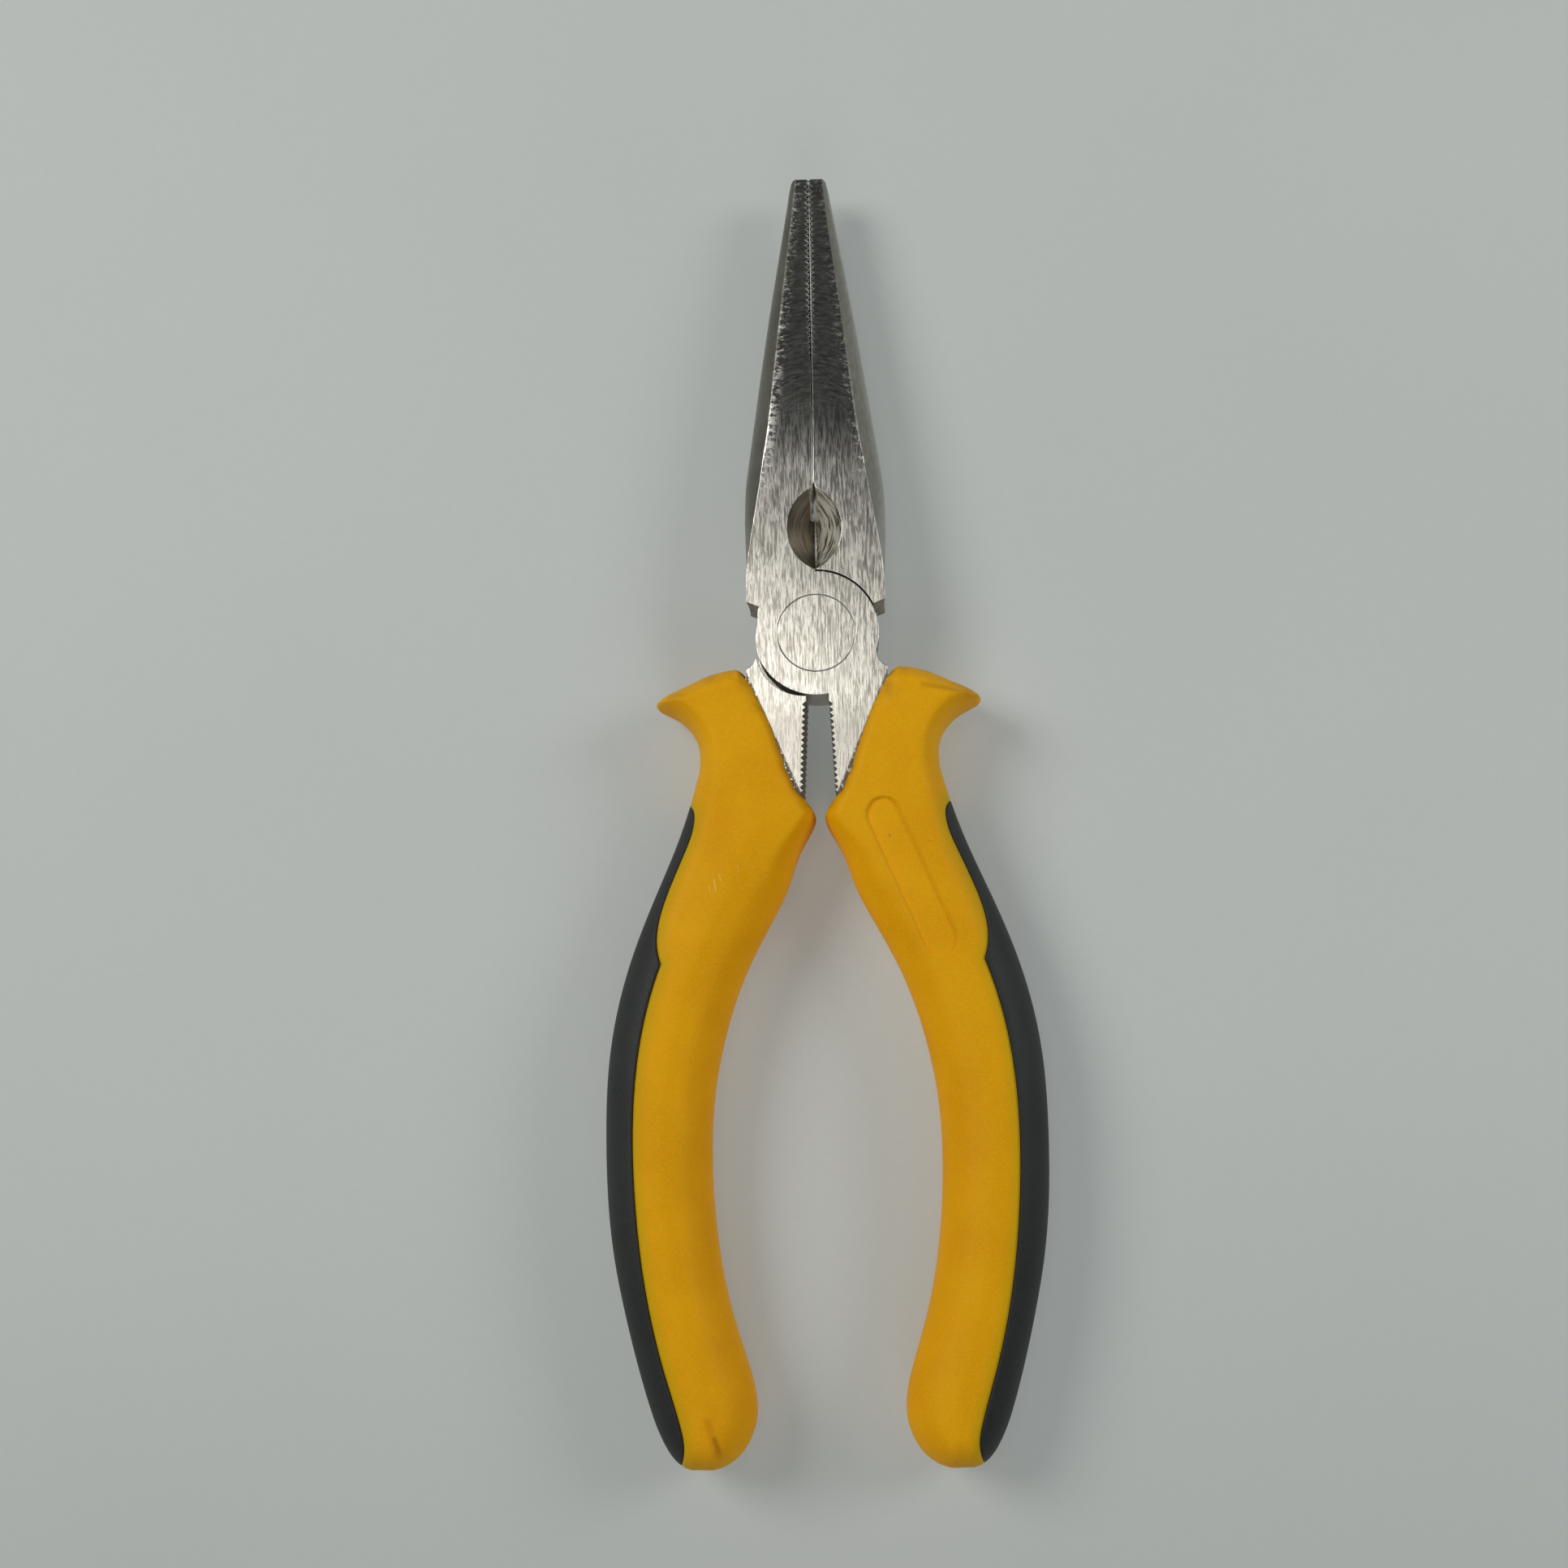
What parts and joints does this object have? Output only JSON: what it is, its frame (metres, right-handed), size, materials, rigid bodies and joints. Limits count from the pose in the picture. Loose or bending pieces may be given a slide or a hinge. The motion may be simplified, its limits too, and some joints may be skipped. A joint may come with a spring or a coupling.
{
  "type": "long nose pliers",
  "caption": "Long nose pliers with tapering toothed jaws, a wire cutter above a flush rivet joint, and bowed moulded grips with flared guards and soft outer inserts.",
  "frame": {"origin": "centre of the pivot rivet at mid thickness of the head", "axes": "The tool lies flat: +Z along the rivet, through the thickness; +Y from the pivot to the nose tip; +X towards the right-hand handle."},
  "size_m": [0.0536, 0.1595, 0.0126],
  "materials": {
    "forged_steel": "ground along the head, belt-finished on the nose",
    "rivet_steel": "ground flush with the head",
    "sleeve_yellow": "satin moulded, fine texture",
    "insert_grey": "matt soft-touch"
  },
  "bodies": {
    "lower": {"lower_lever": "forged_steel", "pivot_rivet": "rivet_steel", "left_sleeve": "sleeve_yellow", "left_grip_insert": "insert_grey"},
    "upper": {"upper_lever": "forged_steel", "right_sleeve": "sleeve_yellow", "right_grip_insert": "insert_grey"}
  },
  "joints": [
    {"name": "jaw_pivot", "type": "hinge", "parent": "lower", "child": "upper", "pos_m": [0, 0, 0], "axis": [0, 0, 1], "range_deg": [0, 44]}
  ]
}
